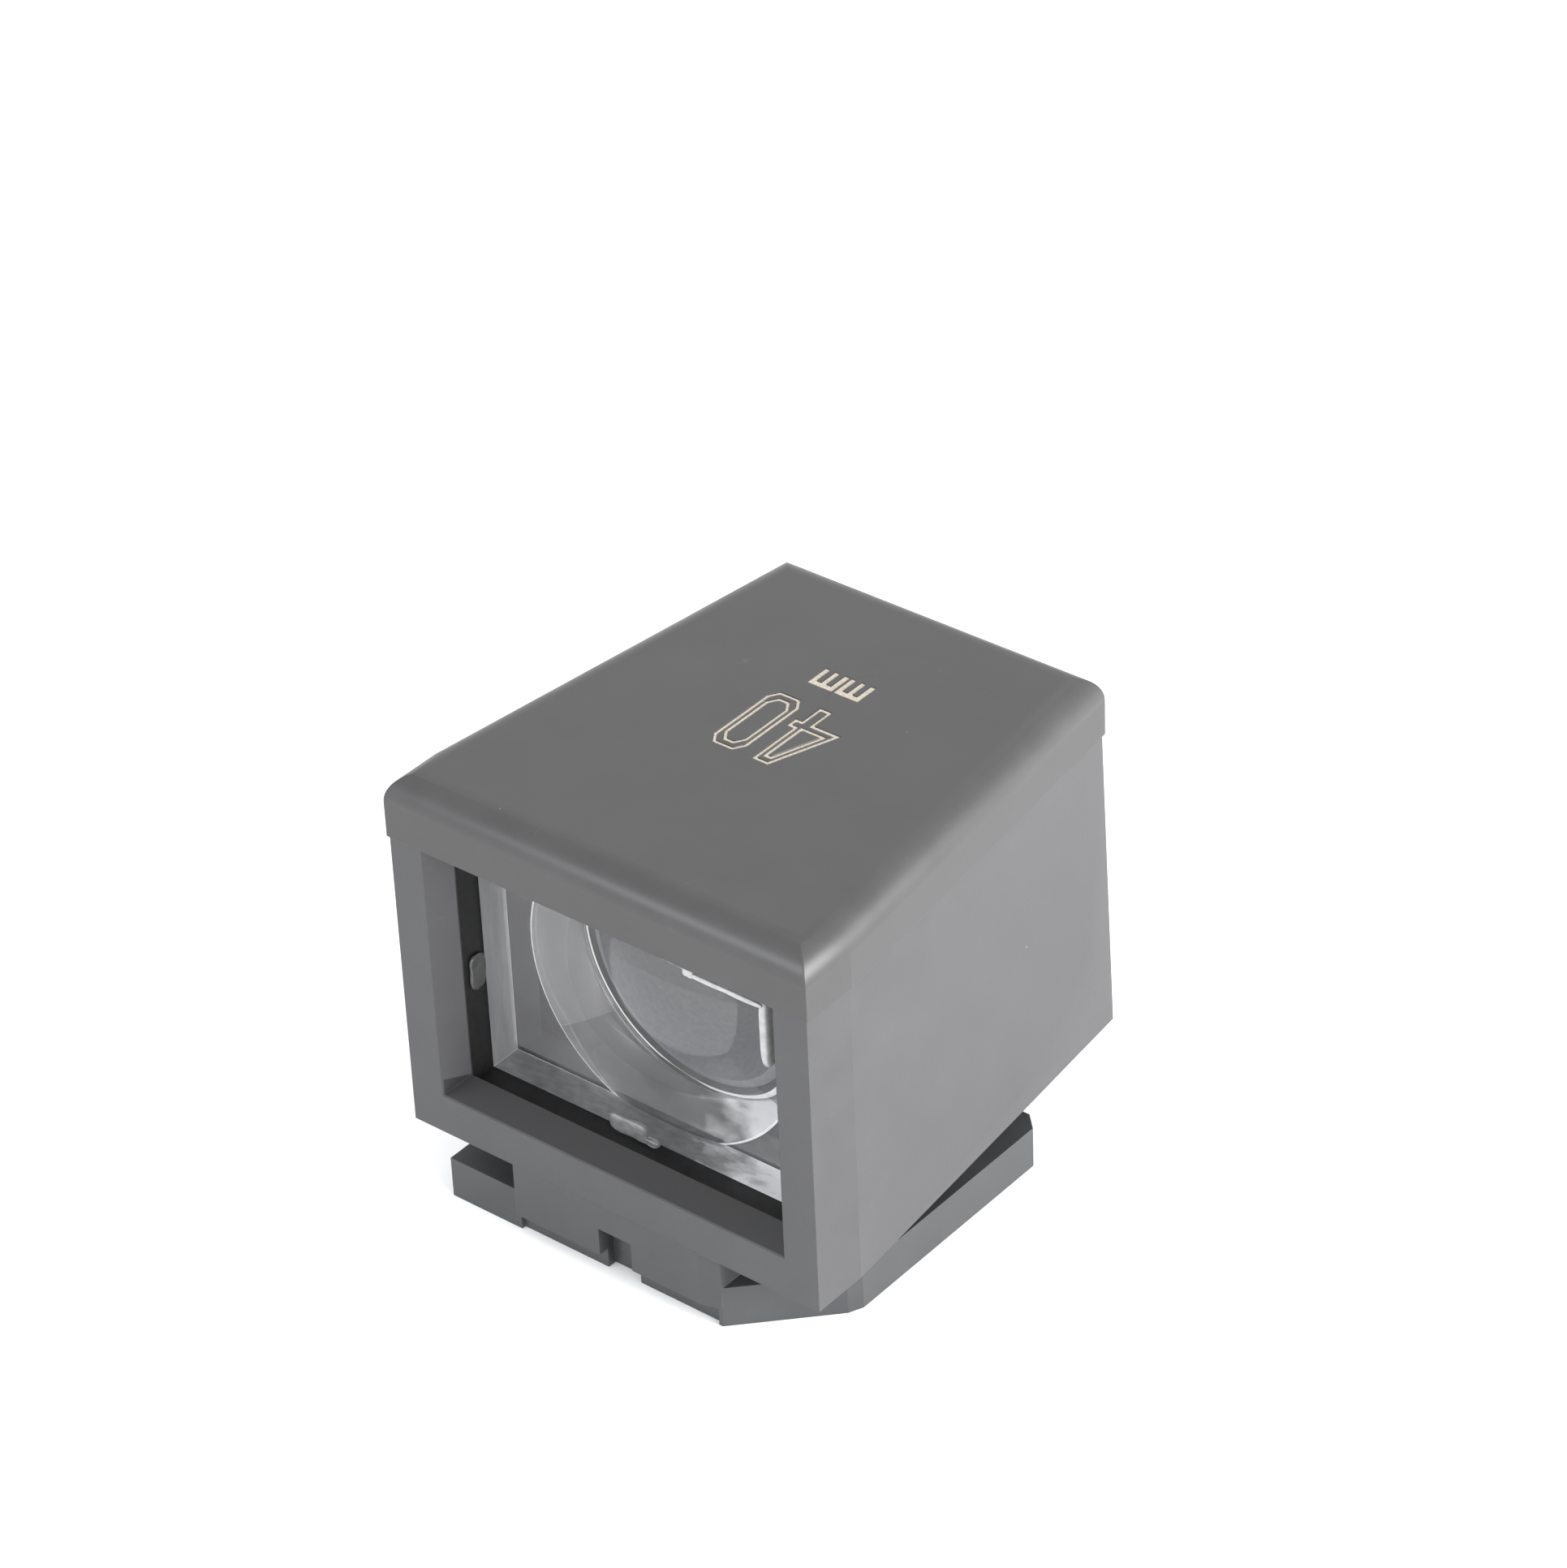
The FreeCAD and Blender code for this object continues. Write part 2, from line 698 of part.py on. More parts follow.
def make_outline_mark(label, loops, height):
    """Strokes of mark_stroke width around closed loops, height thick, on the engraving's floor."""
    strokes = []
    for name, corners in loops.items():
        path = doc.addObject("Sketcher::SketchObject", f"{label}_{name}_path")
        path.setExpression("Placement.Base.z", named("cover_top - mark_deep"))
        add_polygon(path, corners)
        ring = doc.addObject("Part::Offset2D", f"{label}_{name}_ring")
        ring.Source = path
        ring.setExpression("Value", named("mark_stroke"))
        ring.Fill = True
        ring.Join = "Intersection"
        stroke = doc.addObject("Part::Extrusion", f"{label}_{name}_stroke")
        stroke.Base = ring
        stroke.DirMode = "Custom"
        stroke.Dir = FreeCAD.Vector(0, 0, 1)
        stroke.Solid = True
        stroke.setExpression("LengthFwd", named(height))
        strokes.append(stroke)
    mark = doc.addObject("Part::Compound", label)
    mark.Label = label
    mark.Links = strokes
    doc.recompute()
    return mark


def make_unit_letter(label, first_leg, height):
    """One comb-shaped letter: a bar with three legs."""
    body = new_body(label)
    sketch = new_sketch(body, "XY", "cover_top - mark_deep")
    bar_edge = "unit_far + unit_bar"
    corners = [(first_leg, "unit_far")]
    for leg in range(3):
        left = f"{first_leg} + {leg} * unit_pitch"
        right = f"{left} + unit_leg"
        if leg > 0:
            corners.append((left, bar_edge))
        corners.append((left, "unit_near"))
        corners.append((right, "unit_near"))
        if leg < 2:
            corners.append((right, bar_edge))
    corners.append((right, "unit_far"))
    add_polygon(sketch, corners)
    extrude(body, sketch, height)
    return body


def make_marks(prefix, height):
    """The figure and the unit, as paint fills or as the cutters that engrave their pockets."""
    return [
        make_outline_mark(f"{prefix}_zero", zero_loops(), height),
        make_outline_mark(f"{prefix}_four", four_loops(), height),
        make_unit_letter(f"{prefix}_letter_first", "unit_first_x", height),
        make_unit_letter(f"{prefix}_letter_second", "unit_second_x", height),
    ]


def make_top_cover(blank, cutters):
    tools = doc.addObject("Part::Compound", "engraving_cutters")
    tools.Links = cutters
    cover = doc.addObject("Part::Cut", "top_cover")
    cover.Label = "top_cover"
    cover.Base = blank
    cover.Tool = tools
    doc.recompute()
    return cover


def check_document():
    """Stops if any object of the document failed to compute."""
    for item in doc.Objects:
        if "Invalid" in item.State or "Error" in item.State:
            raise SystemExit(f"{item.Label} failed: {item.State}")


def write_parts(pieces):
    os.makedirs("parts", exist_ok=True)
    for piece in pieces:
        shape = piece.Shape
        if shape.isNull() or not shape.isValid() or not shape.Solids:
            raise SystemExit(f"{piece.Label} has no valid solid")
    for piece in pieces:
        box = piece.Shape.optimalBoundingBox()
        low = f"{box.XMin:.2f} {box.YMin:.2f} {box.ZMin:.2f}"
        high = f"{box.XMax:.2f} {box.YMax:.2f} {box.ZMax:.2f}"
        print(f"{piece.Label}: {len(piece.Shape.Solids)} solids, {low} to {high}")
        piece.Shape.exportStep(f"parts/{piece.Label}.step")


engraving = make_marks("cutter", "2 * mark_deep")
pieces = [
    make_housing(),
    make_top_cover(make_cover_blank(), engraving),
    make_cover_bond(),
    make_objective_frame(),
    make_objective_lens(),
    make_sill_bead(),
    make_left_bead(),
    make_right_run(),
    make_aperture_plate(),
    make_light_tunnel(),
    make_eyepiece_cell(),
    make_eyepiece_lens(),
    make_eyepiece_ring(),
    make_shoe_foot(),
    make_foot_screw("foot_screw_front", "screw_front_y"),
    make_foot_screw("foot_screw_rear", "screw_rear_y"),
    *make_marks("mark", "mark_deep - mark_sunk"),
]
doc.recompute()
check_document()
write_parts(pieces)
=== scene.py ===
import math

import bmesh
import bpy
from mathutils import Matrix, Vector, noise


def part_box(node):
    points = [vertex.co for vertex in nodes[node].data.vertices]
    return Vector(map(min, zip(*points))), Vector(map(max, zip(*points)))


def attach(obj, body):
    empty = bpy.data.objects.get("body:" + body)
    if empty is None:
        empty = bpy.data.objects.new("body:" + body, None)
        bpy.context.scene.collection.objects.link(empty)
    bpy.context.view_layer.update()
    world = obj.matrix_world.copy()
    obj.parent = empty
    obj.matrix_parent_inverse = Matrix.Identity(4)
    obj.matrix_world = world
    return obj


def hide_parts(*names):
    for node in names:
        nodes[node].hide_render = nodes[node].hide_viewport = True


# Accessory-shoe viewfinder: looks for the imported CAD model. Metres, +Z up, front towards -Y.

MM = 0.001

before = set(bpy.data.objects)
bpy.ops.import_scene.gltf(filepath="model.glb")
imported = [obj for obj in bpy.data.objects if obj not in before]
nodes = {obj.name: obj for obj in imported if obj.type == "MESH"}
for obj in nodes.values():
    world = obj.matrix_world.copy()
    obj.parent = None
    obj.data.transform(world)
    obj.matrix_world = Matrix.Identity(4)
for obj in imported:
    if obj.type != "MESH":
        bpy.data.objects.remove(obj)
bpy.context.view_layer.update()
scene = bpy.context.scene


# ---------------------------------------------------------------- camera, floor and light

CAMERA_AZIMUTH = 40.235
CAMERA_ELEVATION = 34.139
CAMERA_ROLL = -2.614
CAMERA_DISTANCE = 0.23749
CAMERA_AIM = Vector((-2.064, 3.128, 15.988)) * MM
CAMERA_LENS = 131.3
FLOOR_HALF = 1.5
LIGHT_AIM = Vector((0, 0, 0.01))
TENT_STRENGTH = 1.35


def make_camera():
    azimuth = math.radians(CAMERA_AZIMUTH)
    elevation = math.radians(CAMERA_ELEVATION)
    flat = math.cos(elevation)
    back = Vector((math.sin(azimuth) * flat, -math.cos(azimuth) * flat, math.sin(elevation)))
    data = bpy.data.cameras.new("camera")
    data.lens = CAMERA_LENS
    data.clip_start = 0.01
    data.clip_end = 10
    camera = bpy.data.objects.new("camera", data)
    scene.collection.objects.link(camera)
    turned = (-back).to_track_quat("-Z", "Y").to_matrix().to_4x4()
    roll = Matrix.Rotation(math.radians(CAMERA_ROLL), 4, "Z")
    camera.matrix_world = Matrix.Translation(CAMERA_AIM + back * CAMERA_DISTANCE) @ turned @ roll
    scene.camera = camera


def make_floor():
    mesh = bpy.data.meshes.new("floor")
    half = FLOOR_HALF
    corners = [(-half, -half, 0), (half, -half, 0), (half, half, 0), (-half, half, 0)]
    mesh.from_pydata(corners, [], [(0, 1, 2, 3)])
    floor = bpy.data.objects.new("floor", mesh)
    scene.collection.objects.link(floor)
    floor.data.materials.append(floor_paper())


def make_area_light(name, place, size, power, colour=(1, 1, 1)):
    """A rectangular softbox of size (wide, high) in metres and power in watts, aimed at the part."""
    data = bpy.data.lights.new(name, "AREA")
    data.shape = "RECTANGLE"
    data.size = size[0]
    data.size_y = size[1]
    data.energy = power
    data.color = colour
    light = bpy.data.objects.new(name, data)
    scene.collection.objects.link(light)
    light.location = place
    light.rotation_euler = (LIGHT_AIM - Vector(place)).to_track_quat("-Z", "Y").to_euler()


def make_world():
    """An even white tent of light."""
    world = bpy.data.worlds.new("tent")
    world.use_nodes = True
    background = world.node_tree.nodes["Background"]
    background.inputs["Color"].default_value = (1, 1, 1, 1)
    background.inputs["Strength"].default_value = TENT_STRENGTH
    scene.world = world
    scene.view_settings.view_transform = "Standard"


# ---------------------------------------------------------------- materials

ACRYLIC_IOR = 1.49
MOULDED_IOR = 1.5
GLUE_IOR = 1.5

SILL_FRONT = -11.3 * MM
SILL_BACK = -10.2 * MM
SILL_BOTTOM = 5.45 * MM
SILL_TOP = 6.33 * MM
SILL_HALF_WIDTH = 9.15 * MM

RUB_TONE = (0.25, 0.25, 0.26, 1)
SCUFF_TONE = (0.3, 0.29, 0.28, 1)
DUST_TONE = (0.45, 0.43, 0.4, 1)
# Colour of the painted shade on the window sill.
SILL_PAINTED_SHADE_TONE = (0.008, 0.008, 0.009, 1)
# Colours of the painted glow and of the painted patch of light on the lens's ground faces.
PAINTED_GLOW_TONE = (0.97, 0.98, 1.0, 1)
PAINTED_LIGHT_PATCH_TONE = (0.95, 0.96, 0.98, 1)


class Graph:
    """A material's node tree, with one short call for each node and its links."""

    def __init__(self, name):
        self.material = bpy.data.materials.new(name)
        self.material.use_nodes = True
        self.tree = self.material.node_tree
        self.shader = self.tree.nodes["Principled BSDF"]
        self.place = self.tree.nodes.new("ShaderNodeTexCoord").outputs["Object"]

    def node(self, kind, inputs=None, **settings):
        made = self.tree.nodes.new(kind)
        for key, value in settings.items():
            setattr(made, key, value)
        for key, value in (inputs or {}).items():
            self.feed(made.inputs[key], value)
        return made

    def feed(self, socket, value):
        if isinstance(value, bpy.types.NodeSocket):
            self.tree.links.new(value, socket)
        else:
            socket.default_value = value

    def noise(self, size_mm, detail=3.0, stretch=(1, 1, 1), rough=0.55):
        """Noise with features of about size_mm, longer along an axis whose stretch is above 1."""
        scale = tuple(1 / (size_mm * MM * s) for s in stretch)
        spread = self.node("ShaderNodeVectorMath", {0: self.place, 1: scale}, operation="MULTIPLY")
        inputs = {"Vector": spread.outputs[0], "Scale": 1.0, "Detail": detail, "Roughness": rough}
        return self.node("ShaderNodeTexNoise", inputs).outputs["Fac"]

    def ramp(self, value, low, high, from_low=0.0, from_high=1.0, smooth=False):
        """Maps value from one range to another, held at the ends."""
        inputs = {"Value": value, "To Min": low, "To Max": high}
        inputs.update({"From Min": from_low, "From Max": from_high})
        kind = "SMOOTHSTEP" if smooth else "LINEAR"
        return self.node("ShaderNodeMapRange", inputs, interpolation_type=kind).outputs[0]

    def mix(self, share, first, second):
        mixer = self.node("ShaderNodeMix", {0: share, 6: first, 7: second}, data_type="RGBA")
        return mixer.outputs[2]

    def math(self, operation, first, second=0.0):
        return self.node("ShaderNodeMath", {0: first, 1: second}, operation=operation).outputs[0]

    def specks(self, spacing_mm, radius_mm, share):
        """1 inside scattered round specks: one in 'share' of the cells of a random grid."""
        scale = 1 / (spacing_mm * MM)
        cells = self.node("ShaderNodeTexVoronoi", {"Vector": self.place, "Scale": scale})
        edge = radius_mm / spacing_mm
        near = self.ramp(cells.outputs["Distance"], 1.0, 0.0, 0.5 * edge, edge)
        chosen = self.math("LESS_THAN", cells.outputs["Color"], share)
        return self.math("MULTIPLY", near, chosen)

    def scratches(self, spacing_mm, width_mm, share, turn):
        """1 along sparse fine lines that run in one direction and fade in and out."""
        turned = self.node("ShaderNodeMapping", {"Vector": self.place, "Rotation": turn})
        warp = self.noise(4.0, 1.0)
        across = {0: turned.outputs[0], 1: (1 / (spacing_mm * MM), 0, 0)}
        bent = self.node("ShaderNodeVectorMath", across, operation="DOT_PRODUCT")
        wave = self.math("ADD", bent.outputs["Value"], self.math("MULTIPLY", warp, 0.5))
        off_line = self.math("ABSOLUTE", self.math("SUBTRACT", self.math("FRACT", wave), 0.5))
        line = self.ramp(off_line, 1.0, 0.0, 0.0, width_mm / spacing_mm)
        shown = self.ramp(self.noise(2.3, 2.0), 0.0, 1.0, 1 - share, 1 - share + 0.06)
        return self.math("MULTIPLY", line, shown)

    def bump(self, height, distance_mm, strength=1.0, under=None):
        inputs = {"Height": height, "Distance": distance_mm * MM, "Strength": strength}
        made = self.node("ShaderNodeBump", inputs)
        if under is not None:
            self.feed(made.inputs["Normal"], under)
        return made.outputs["Normal"]

    def set(self, **inputs):
        for key, value in inputs.items():
            self.feed(self.shader.inputs[key.replace("_", " ")], value)


def floor_paper():
    graph = Graph("floor_paper")
    tone = graph.ramp(graph.noise(3.0), 0.88, 0.92)
    colour = graph.node("ShaderNodeCombineColor", {0: tone, 1: tone, 2: tone}).outputs[0]
    graph.set(Base_Color=colour, Roughness=0.9)
    return graph.material


def sill_painted_shade_mask(graph):
    """1 on the bevel of the window's sill, where painted shade makes it darker than the faces around it."""
    parts = graph.node("ShaderNodeSeparateXYZ", {0: graph.place}).outputs
    behind_front = graph.math("GREATER_THAN", parts[1], SILL_FRONT)
    before_wall = graph.math("LESS_THAN", parts[1], SILL_BACK)
    below_opening = graph.math("LESS_THAN", parts[2], SILL_TOP)
    above_front = graph.math("GREATER_THAN", parts[2], SILL_BOTTOM)
    between_posts = graph.math("LESS_THAN", graph.math("ABSOLUTE", parts[0]), SILL_HALF_WIDTH)
    mask = between_posts
    for part in (behind_front, before_wall, below_opening, above_front):
        mask = graph.math("MULTIPLY", mask, part)
    return mask


def moulded_plastic(name, colour, rough, grain_mm, grain_deep_mm, painted_sill_shade=False):
    """Satin black moulding: a spark-eroded grain, faint mottling, dust and hairline rubs, and on the
    housing painted shade on the window sill.
    """
    graph = Graph(name)
    mottle = graph.ramp(graph.noise(2.5, 4.0), -1.0, 1.0, 0.3, 0.7)
    worn = graph.scratches(1.9, 0.01, 0.38, (0.3, 0.9, 0.5))
    fine_dust = graph.specks(0.55, 0.03, 0.06)
    coarse_dust = graph.specks(2.3, 0.05, 0.3)
    dust = graph.math("MAXIMUM", fine_dust, coarse_dust)
    scuff = graph.ramp(graph.noise(1.6, 6.0, stretch=(1, 1, 0.4), rough=0.75), 0.0, 1.0, 0.66, 0.74)
    low = tuple(c * 0.9 for c in colour) + (1,)
    high = tuple(c * 1.1 for c in colour) + (1,)
    base = graph.mix(graph.ramp(mottle, 0.0, 1.0, -1.0, 1.0), low, high)
    base = graph.mix(graph.math("MULTIPLY", worn, 0.1), base, RUB_TONE)
    base = graph.mix(graph.math("MULTIPLY", scuff, 0.09), base, SCUFF_TONE)
    base = graph.mix(graph.math("MULTIPLY", dust, 0.4), base, DUST_TONE)
    if painted_sill_shade:
        # Painted shade: the sill bevel is darkened in the base colour.
        base = graph.mix(sill_painted_shade_mask(graph), base, SILL_PAINTED_SHADE_TONE)
    uneven = graph.math("MULTIPLY", mottle, 0.04)
    grain = graph.noise(grain_mm, 2.0)
    normal = graph.bump(grain, grain_deep_mm, 0.8)
    normal = graph.bump(graph.noise(6.0, 1.0), 0.02, 0.3, under=normal)
    graph.set(Base_Color=base, Roughness=graph.math("ADD", uneven, rough), Normal=normal)
    graph.set(IOR=MOULDED_IOR)
    return graph.material


def grey_tone(graph, fac, low, high, blue=1.0):
    """A near-neutral colour between two grey levels."""
    tone = graph.ramp(fac, low, high, 0.3, 0.7)
    parts = {0: tone, 1: tone, 2: graph.math("MULTIPLY", tone, blue)}
    return graph.node("ShaderNodeCombineColor", parts).outputs[0]


def baffle(name, low, high):
    """Matt inner parts, seen only through the lens."""
    graph = Graph(name)
    colour = grey_tone(graph, graph.noise(0.4, 3.0), low, high, blue=1.08)
    normal = graph.bump(graph.noise(0.05), 0.006, 0.6)
    graph.set(Base_Color=colour, Roughness=0.5, Normal=normal)
    return graph.material


def polished_acrylic():
    graph = Graph("polished_acrylic")
    haze = graph.ramp(graph.noise(1.2, 3.0), 0.0, 0.03, 0.45, 0.75)
    graph.set(Base_Color=(0.985, 0.99, 0.995, 1), Roughness=haze, Transmission_Weight=1.0)
    graph.set(IOR=ACRYLIC_IOR)
    return graph.material


def ground_acrylic(name, low, high, clear, painted_light_from=None, painted_glow=0.0):
    """The lens's unpolished faces scatter light and emit a painted glow of strength glow.
    Some whiten towards +X from painted_light_from mm on, a painted patch of light."""
    graph = Graph(name)
    cloud = graph.noise(0.7, 4.0, stretch=(1, 1, 3))
    colour = grey_tone(graph, cloud, low, high)
    if painted_light_from is not None:
        along = graph.node("ShaderNodeSeparateXYZ", {0: graph.place}).outputs[0]
        uneven = graph.math("MULTIPLY", graph.ramp(graph.noise(1.5, 3.0), -1.0, 1.0, 0.3, 0.7), 1.6 * MM)
        start = painted_light_from * MM
        share = graph.ramp(graph.math("ADD", along, uneven), 0.0, 1.0, start, start + 3.5 * MM)
        # Painted patch of light: the base colour whitens towards +X.
        colour = graph.mix(share, colour, PAINTED_LIGHT_PATCH_TONE)
        clear = graph.ramp(share, clear, 0.1)
        painted_glow = graph.math("MULTIPLY", share, painted_glow)
    graph.set(Base_Color=colour, Roughness=0.45, Transmission_Weight=clear, IOR=ACRYLIC_IOR)
    # Painted glow: the ground faces emit light though they are no lamp.
    graph.set(Emission_Color=PAINTED_GLOW_TONE, Emission_Strength=painted_glow)
    return graph.material


def cloudy_glue(name, low, high, clear):
    graph = Graph(name)
    cloud = graph.noise(0.35, 4.0)
    colour = grey_tone(graph, cloud, low, high)
    shine = graph.ramp(cloud, 0.08, 0.3)
    graph.set(Base_Color=colour, Roughness=shine, Transmission_Weight=clear, IOR=GLUE_IOR)
    graph.set(Normal=graph.bump(graph.noise(0.25, 3.0), 0.05, 0.6))
    return graph.material


def mark_paint():
    graph = Graph("mark_paint")
    fleck = graph.ramp(graph.noise(0.09, 4.0), 0.0, 1.0, 0.35, 0.65)
    colour = graph.mix(fleck, (0.28, 0.25, 0.2, 1), (0.46, 0.41, 0.34, 1))
    graph.set(Base_Color=colour, Roughness=0.6, Normal=graph.bump(graph.noise(0.06), 0.02, 0.7))
    return graph.material


def blackened_steel():
    graph = Graph("blackened_steel")
    colour = grey_tone(graph, graph.noise(0.5, 3.0, stretch=(1, 1, 6)), 0.05, 0.16)
    graph.set(Base_Color=colour, Metallic=0.85, Roughness=graph.ramp(graph.noise(0.2), 0.28, 0.42))
    return graph.material


# ---------------------------------------------------------------- the CAD nodes' looks

WELD_DISTANCE = 1e-6
FLAT_ANGLE = math.radians(0.5)
SHARP_ANGLE = math.radians(25)


def dress(node, material):
    """Gives a CAD node its material in every slot."""
    slots = nodes[node].data.materials
    slots.clear()
    slots.append(material)


def soften(node, width_mm, merge_flats=True):
    """Rounds a CAD node's sharp edges with modifiers; its own mesh stays as packed."""
    piece = nodes[node]
    weld = piece.modifiers.new("weld", "WELD")
    weld.merge_threshold = WELD_DISTANCE
    if merge_flats:
        flat = piece.modifiers.new("flat", "DECIMATE")
        flat.decimate_type = "DISSOLVE"
        flat.angle_limit = FLAT_ANGLE
    edge = piece.modifiers.new("edge", "BEVEL")
    edge.width = width_mm * MM
    edge.segments = 3
    edge.limit_method = "ANGLE"
    edge.angle_limit = SHARP_ANGLE


# ---------------------------------------------------------------- mesh helpers

def link_mesh(name, shape):
    """A new object from a bmesh, linked to the scene."""
    mesh = bpy.data.meshes.new(name)
    bmesh.ops.recalc_face_normals(shape, faces=shape.faces)
    shape.to_mesh(mesh)
    shape.free()
    piece = bpy.data.objects.new(name, mesh)
    scene.collection.objects.link(piece)
    return piece


def box_mesh(name, low, high):
    shape = bmesh.new()
    bmesh.ops.create_cube(shape, size=1)
    for vertex in shape.verts:
        for i in range(3):
            vertex.co[i] = low[i] if vertex.co[i] < 0 else high[i]
    return link_mesh(name, shape)


def turned_mesh(name, profile, height, steps=160):
    """A closed solid turned about the optical axis from (along Y, radius); radius 0 is a pole."""
    shape = bmesh.new()
    rings = []
    for along, radius in profile:
        if radius == 0:
            rings.append([shape.verts.new((0, along, height))])
            continue
        ring = []
        for i in range(steps):
            turn = 2 * math.pi * i / steps
            ring.append(shape.verts.new((radius * math.cos(turn), along, height + radius * math.sin(turn))))
        rings.append(ring)
    pairs = list(zip(rings, rings[1:]))
    if len(rings[0]) > 1:
        pairs.append((rings[-1], rings[0]))
    for first, second in pairs:
        for i in range(steps):
            j = (i + 1) % steps
            near = [first[i % len(first)], first[j % len(first)]]
            far = [second[j % len(second)], second[i % len(second)]]
            shape.faces.new(list(dict.fromkeys(near + far)))
    return link_mesh(name, shape)


def apply_modifiers(piece):
    """Replaces the piece's mesh by what its modifiers make of it."""
    graph = bpy.context.evaluated_depsgraph_get()
    made = bpy.data.meshes.new_from_object(piece.evaluated_get(graph))
    piece.modifiers.clear()
    piece.data = made


def cut_away(piece, cutter):
    modifier = piece.modifiers.new("cut", "BOOLEAN")
    modifier.operation = "DIFFERENCE"
    modifier.solver = "EXACT"
    modifier.object = cutter
    bpy.context.view_layer.update()
    apply_modifiers(piece)
    bpy.data.objects.remove(cutter)


def round_edges(piece, width_mm):
    """Rounds a drawn piece's sharp edges for good, and smooths its shading."""
    edge = piece.modifiers.new("edge", "BEVEL")
    edge.width = width_mm * MM
    edge.segments = 2
    edge.limit_method = "ANGLE"
    edge.angle_limit = SHARP_ANGLE
    apply_modifiers(piece)
    for face in piece.data.polygons:
        face.use_smooth = True
    weighted = piece.modifiers.new("normals", "WEIGHTED_NORMAL")
    weighted.keep_sharp = False
    weighted.weight = 100


def arc_profile(rim_along, rim, sag, steps=40):
    """Points of a spherical face from its rim to its pole, which is sag in front of the rim (-Y)."""
    size = (rim * rim + sag * sag) / (2 * abs(sag))
    side = math.copysign(1, sag)
    centre = rim_along - sag + side * size
    widest = math.asin(rim / size)
    points = []
    for i in range(steps):
        turn = widest * (1 - i / steps)
        points.append((centre - side * size * math.cos(turn), size * math.sin(turn)))
    points.append((rim_along - sag, 0))
    return points


def lumps_mesh(name, lumps, swell_mm):
    """Soft lumps of glue in one mesh; each fills a box of millimetres (low, high) and is uneven."""
    shape = bmesh.new()
    for low, high in lumps:
        made = bmesh.ops.create_uvsphere(shape, u_segments=40, v_segments=24, radius=1)
        middle = (Vector(low) + Vector(high)) / 2
        half = (Vector(high) - Vector(low)) / 2
        for vertex in made["verts"]:
            squared = [math.copysign(abs(c) ** 0.55, c) for c in vertex.co]
            place = Vector([middle[i] + half[i] * squared[i] for i in range(3)])
            inwards = (middle - place).normalized()
            swell = 0.5 + 0.5 * noise.noise(place * 1.7)
            vertex.co = (place + inwards * swell * swell_mm) * MM
    piece = link_mesh(name, shape)
    for face in piece.data.polygons:
        face.use_smooth = True
    return piece


# ---------------------------------------------------------------- pieces drawn finer than the CAD

AXIS_HEIGHT = 12.4 * MM
DISH_RIM = 6.9 * MM
DISH_SAG = 2.9 * MM
RIM_BEVEL = 0.1 * MM
STOP_HOLE = 6.6 * MM
STOP_BEVEL = 0.15 * MM
EYE_RIM = 5.35 * MM
EYE_EDGE = 1.4 * MM
EYE_CROWN = 1.1 * MM
LENS_GAP = 0.03 * MM
CUT_PAST = 1 * MM
BEVEL_FACE_AREA = 1 * MM * MM
LENS_ROUND_MM = 0.05

# Lumps of glue, each the low and high corners of the box that it fills, in millimetres.
SILL_LUMPS = [((-1.75, -9.5, 5.95), (0.4, -9.1, 6.95)), ((-0.4, -9.5, 5.95), (1.0, -9.1, 6.4))]
LEFT_LUMPS = [((-8.35, -10.1, 10.4), (-8.1, -9.1, 12.2))]
RIGHT_LUMPS = [
    ((7.3, -10.25, 13.5), (7.8, -9.3, 17.2)),
    ((4.0, -10.5, 16.72), (7.8, -10.3, 16.98)),
    ((3.7, -10.5, 16.65), (4.3, -10.25, 17.1)),
]


def lens_face_material(face, rear):
    """Which of the front lens's materials a face takes: 0 polished, 1 edge with a painted highlight, 2..
    ground sides with painted light and shade, one tone per side.
    """
    normal = face.normal
    if normal.x < -0.95:
        return 2
    if normal.z < -0.95:
        return 3
    if normal.x > 0.95 or normal.z > 0.95:
        return 4
    flat = max(abs(normal.x), abs(normal.y), abs(normal.z)) > 0.98
    reach = math.hypot(face.center.x, face.center.z - AXIS_HEIGHT)
    on_rim = abs(reach - DISH_RIM - RIM_BEVEL / 2) < RIM_BEVEL and face.center.y > rear - 2 * RIM_BEVEL
    on_box_edge = reach > DISH_RIM + 2 * RIM_BEVEL and not flat
    return 1 if on_rim or on_box_edge else 0


def make_front_lens():
    """The objective lens: a block with a spherical dish in its rear face and ground sides."""
    low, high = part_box("objective_lens")
    high.y -= LENS_GAP
    lens = box_mesh("front_lens", low, high)
    behind = high.y + CUT_PAST
    wide = DISH_RIM + RIM_BEVEL
    profile = [(behind, 0), (behind, wide), (high.y, wide)]
    profile += arc_profile(high.y - RIM_BEVEL, DISH_RIM, DISH_SAG - RIM_BEVEL)
    cut_away(lens, turned_mesh("dish", profile, AXIS_HEIGHT))
    round_edges(lens, LENS_ROUND_MM)
    # The edges take a painted highlight, and each ground side its own tone of painted light and shade.
    for material in (acrylic, lens_edge_painted_highlight, lens_left_painted_lit, lens_bottom_painted_light, lens_painted_shade):
        lens.data.materials.append(material)
    for face in lens.data.polygons:
        face.material_index = lens_face_material(face, high.y)
    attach(lens, "root")
    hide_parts("objective_lens")


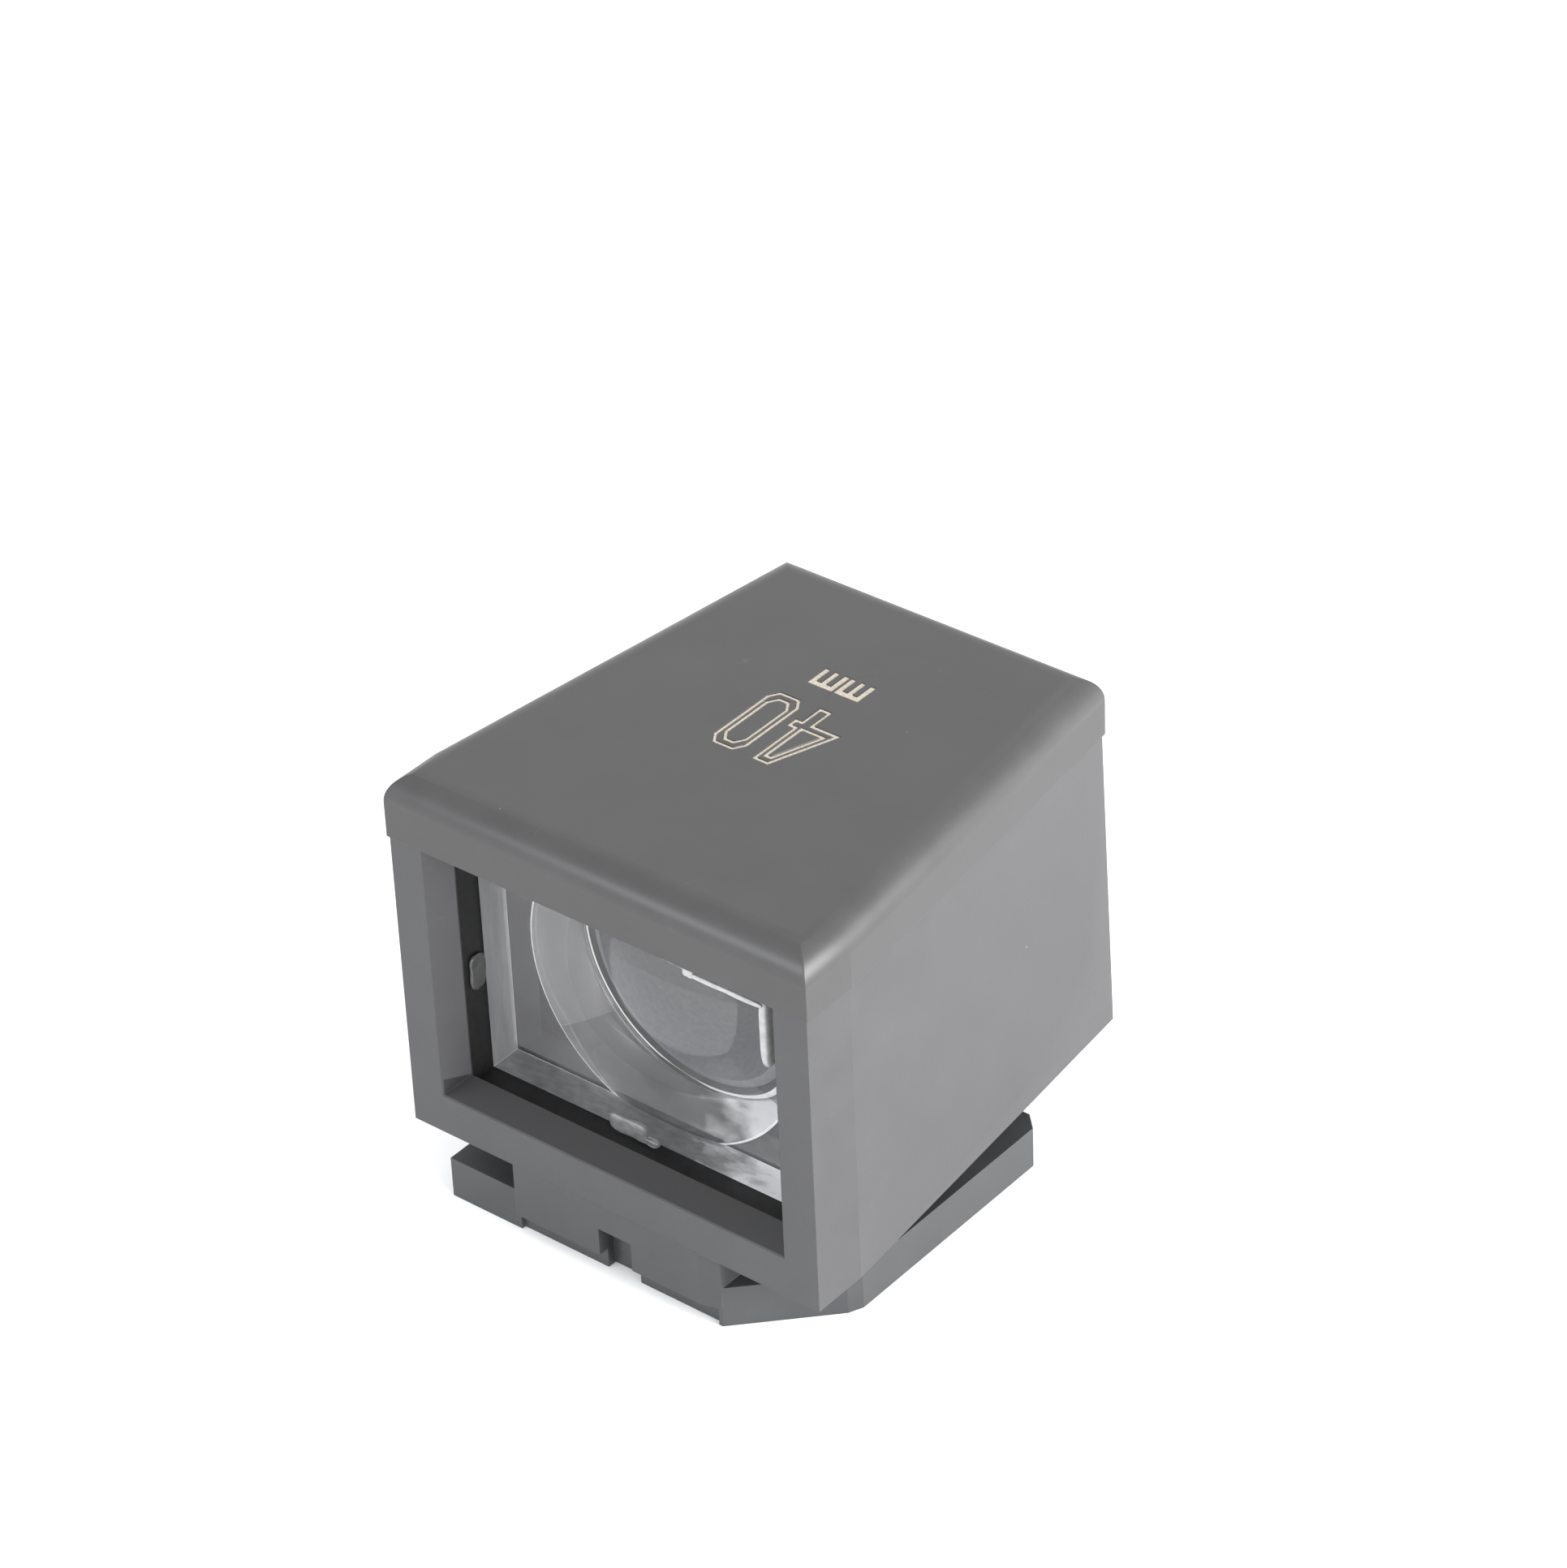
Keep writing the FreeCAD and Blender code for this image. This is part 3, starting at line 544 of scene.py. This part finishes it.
def make_stop_plate():
    """The aperture plate, with a narrow bevel round its hole that carries a painted highlight."""
    low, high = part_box("aperture_plate")
    plate = box_mesh("stop_plate", low, high)
    wide = STOP_HOLE + STOP_BEVEL
    behind = high.y + CUT_PAST
    ahead = low.y - CUT_PAST
    profile = [(behind, 0), (behind, STOP_HOLE), (low.y + STOP_BEVEL, STOP_HOLE)]
    profile += [(low.y, wide), (ahead, wide), (ahead, 0)]
    cut_away(plate, turned_mesh("hole", profile, AXIS_HEIGHT))
    plate.data.materials.append(plate_grey)
    plate.data.materials.append(lens_edge_painted_highlight)
    for face in plate.data.polygons:
        reach = math.hypot(face.center.x, face.center.z - AXIS_HEIGHT)
        on_bevel = STOP_HOLE < reach < wide and face.center.y < low.y + STOP_BEVEL
        face.material_index = 1 if on_bevel and face.area < BEVEL_FACE_AREA else 0
    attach(plate, "root")
    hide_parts("aperture_plate")


def make_rear_lens():
    """The eyepiece lens: flat in front, crowned towards the eye."""
    low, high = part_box("eyepiece_lens")
    profile = [(low.y, 0), (low.y, EYE_RIM), (low.y + EYE_EDGE, EYE_RIM)]
    profile += arc_profile(low.y + EYE_EDGE, EYE_RIM, -EYE_CROWN)[1:]
    lens = turned_mesh("rear_lens", profile, AXIS_HEIGHT)
    round_edges(lens, LENS_ROUND_MM)
    lens.data.materials.append(acrylic)
    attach(lens, "root")
    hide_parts("eyepiece_lens")


def make_glue(name, replaced, lumps, swell_mm, material):
    """Cured glue drawn as soft lumps, in place of a CAD bead."""
    piece = lumps_mesh(name, lumps, swell_mm)
    piece.data.materials.append(material)
    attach(piece, "root")
    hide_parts(replaced)


make_camera()
make_world()
make_floor()
make_area_light("right_softbox", (0.45, 0.06, 0.08), (0.5, 0.35), 8.5)
make_area_light("front_softbox", (-0.12, -0.5, 0.22), (0.5, 0.14), 1.7, (0.9, 0.94, 1.0))

# The housing takes painted shade on its window sill.
housing_plastic = moulded_plastic("housing_plastic", (0.04, 0.04, 0.042), 0.42, 0.09, 0.006, painted_sill_shade=True)
cover_plastic = moulded_plastic("cover_plastic", (0.036, 0.035, 0.036), 0.4, 0.07, 0.004)
foot_plastic = moulded_plastic("foot_plastic", (0.036, 0.038, 0.04), 0.4, 0.1, 0.005)
plate_grey = baffle("plate_grey", 0.02, 0.03)
frame_black = baffle("frame_black", 0.004, 0.01)
tunnel_grey = baffle("tunnel_grey", 0.25, 0.3)
inner_black = baffle("inner_black", 0.012, 0.025)
acrylic = polished_acrylic()
# Painted highlight: bright, glowing edges of the lens rim, box edges and stop-plate bevel.
lens_edge_painted_highlight = ground_acrylic("lens_edge_painted_highlight", 0.75, 0.95, 0.1, painted_glow=0.3)
# Lit and shaded copies of one ground finish: the left side painted light, the bottom with painted light,
# the right and top sides painted shade.
lens_left_painted_lit = ground_acrylic("lens_left_painted_lit", 0.45, 0.58, 0.2, painted_glow=0.04)
lens_bottom_painted_light = ground_acrylic("lens_bottom_painted_light", 0.25, 0.45, 0.5, painted_light_from=2.5, painted_glow=0.3)
lens_painted_shade = ground_acrylic("lens_painted_shade", 0.08, 0.2, 0.4)
clear_glue = cloudy_glue("clear_glue", 0.3, 0.5, 0.7)
dull_glue = cloudy_glue("dull_glue", 0.08, 0.14, 0.5)
# Cured glue on the right reveal, its light colour a painted highlight.
glue_painted_highlight = cloudy_glue("glue_painted_highlight", 0.42, 0.55, 0.3)
paint = mark_paint()
steel = blackened_steel()

dress("housing", housing_plastic)
dress("top_cover", cover_plastic)
dress("shoe_foot", foot_plastic)
dress("aperture_plate", plate_grey)
dress("light_tunnel", tunnel_grey)
dress("objective_frame", frame_black)
for name in ("cover_bond", "eyepiece_cell", "eyepiece_ring"):
    dress(name, inner_black)
for name in ("objective_lens", "eyepiece_lens"):
    dress(name, acrylic)
for name in ("glue_bead_sill", "glue_bead_left", "glue_bead_right"):
    dress(name, clear_glue)
for name in ("mark_zero", "mark_four", "mark_letter_first", "mark_letter_second"):
    dress(name, paint)
for name in ("foot_screw_front", "foot_screw_rear"):
    dress(name, steel)

make_front_lens()
make_rear_lens()
make_stop_plate()
make_glue("sill_glue", "glue_bead_sill", SILL_LUMPS, 0.15, clear_glue)
make_glue("left_glue", "glue_bead_left", LEFT_LUMPS, 0.12, dull_glue)
make_glue("right_glue", "glue_bead_right", RIGHT_LUMPS, 0.06, glue_painted_highlight)
soften("housing", 0.12)
soften("top_cover", 0.05, merge_flats=False)
soften("shoe_foot", 0.2)
for name in ("mark_zero", "mark_four", "mark_letter_first", "mark_letter_second"):
    soften(name, 0.05)
